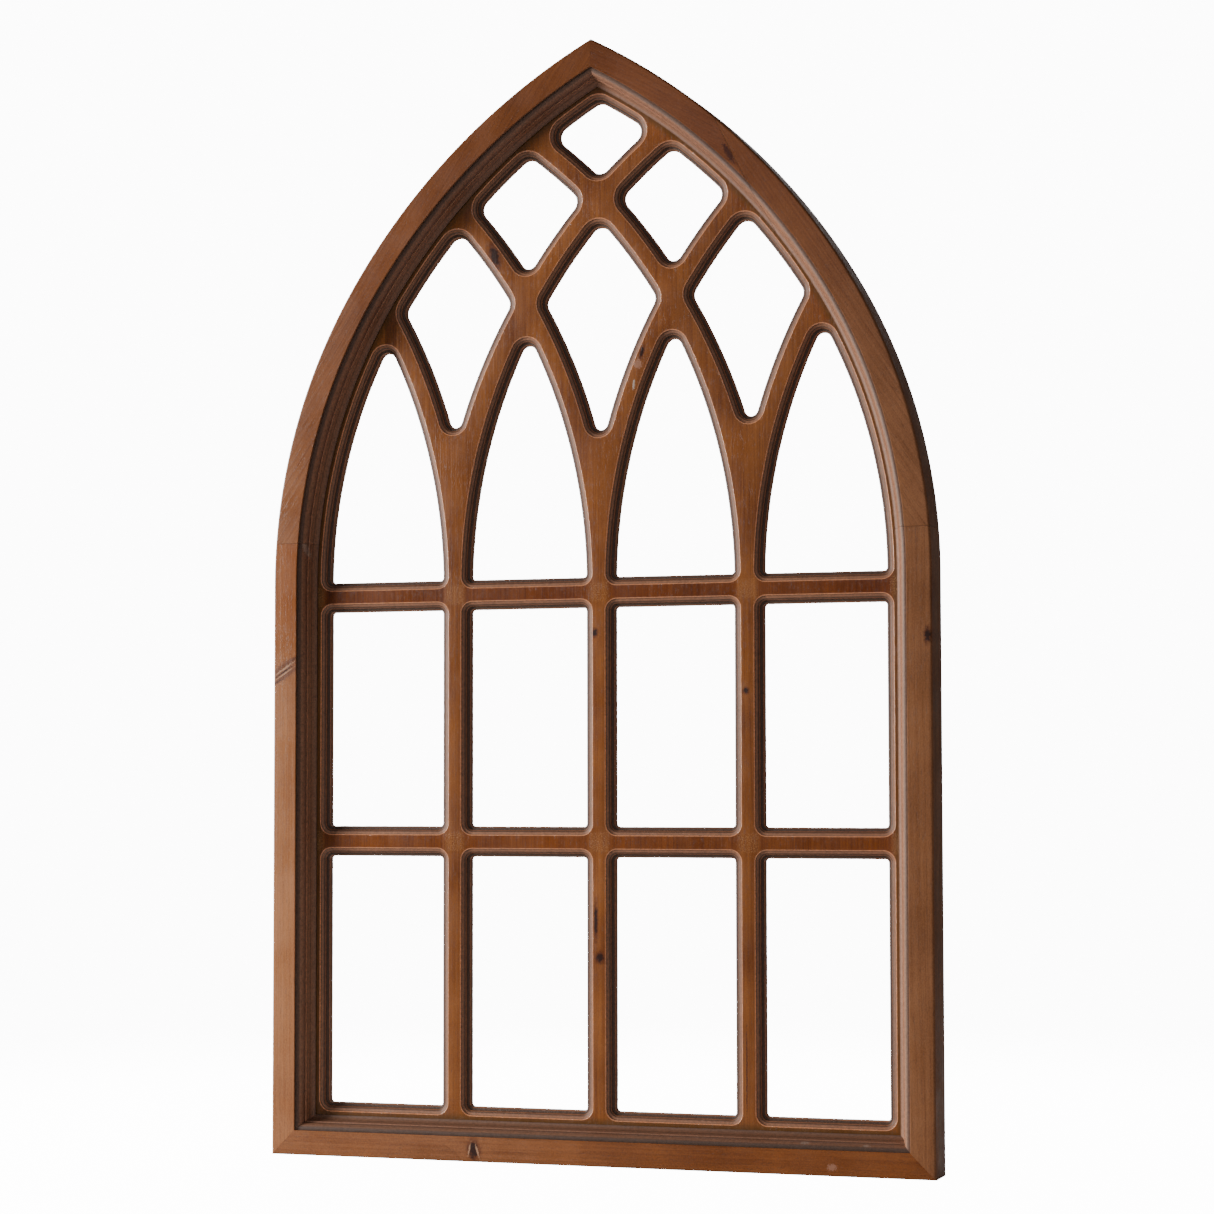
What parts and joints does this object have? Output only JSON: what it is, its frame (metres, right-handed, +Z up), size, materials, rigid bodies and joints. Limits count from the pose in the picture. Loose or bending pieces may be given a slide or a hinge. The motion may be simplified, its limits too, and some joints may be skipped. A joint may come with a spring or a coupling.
{
  "type": "wooden arched window-frame wall panel",
  "caption": "Pointed-arch wooden window frame for a wall, with interlaced tracery over two rows of open panes, D-ring hangers and bumpers behind.",
  "frame": {"origin": "middle of the base, half way through the overall depth with the bumpers", "axes": "+Z up the height to the apex, the face towards -Y, +X to the right seen from the front"},
  "size_m": [0.61, 0.0438, 0.9926],
  "materials": {
    "frame_wood": "mid-brown stain, satin, visible grain",
    "tracery_wood": "red-brown stain, satin, routed edges",
    "peg_wood": "bare beech",
    "screw_steel": "zinc plated",
    "hanger_steel": "zinc plated",
    "bumper_rubber": "matt black"
  },
  "bodies": {
    "root": {"bottom_rail": "frame_wood", "left_jamb": "frame_wood", "right_jamb": "frame_wood", "left_arch": "frame_wood", "right_arch_lower": "frame_wood", "right_arch_upper": "frame_wood", "tracery_board_1": "tracery_wood", "tracery_board_2": "tracery_wood", "tracery_board_3": "tracery_wood", "tracery_board_4": "tracery_wood", "tracery_board_5": "tracery_wood", "arch_dowel_left": "peg_wood", "arch_dowel_right": "peg_wood", "apex_dowel": "peg_wood", "corner_spline_left": "peg_wood", "corner_spline_right": "peg_wood", "panel_screw_01": "screw_steel", "panel_screw_02": "screw_steel", "panel_screw_03": "screw_steel", "panel_screw_04": "screw_steel", "panel_screw_05": "screw_steel", "panel_screw_06": "screw_steel", "panel_screw_07": "screw_steel", "panel_screw_08": "screw_steel", "panel_screw_09": "screw_steel", "panel_screw_10": "screw_steel", "panel_screw_11": "screw_steel", "hanger_strap_left": "hanger_steel", "strap_screw_left_1": "screw_steel", "strap_screw_left_2": "screw_steel", "bumper_left": "bumper_rubber", "hanger_strap_right": "hanger_steel", "strap_screw_right_1": "screw_steel", "strap_screw_right_2": "screw_steel", "bumper_right": "bumper_rubber"},
    "ring_left": {"hanger_ring_left": "hanger_steel"},
    "ring_right": {"hanger_ring_right": "hanger_steel"}
  },
  "joints": [
    {"name": "ring_left_swing", "type": "hinge", "parent": "root", "child": "ring_left", "pos_m": [-0.293, 0.0193, 0.506], "axis": [1, 0, 0], "range_deg": [0, 180]},
    {"name": "ring_right_swing", "type": "hinge", "parent": "root", "child": "ring_right", "pos_m": [0.293, 0.0193, 0.506], "axis": [1, 0, 0], "range_deg": [0, 180]}
  ]
}
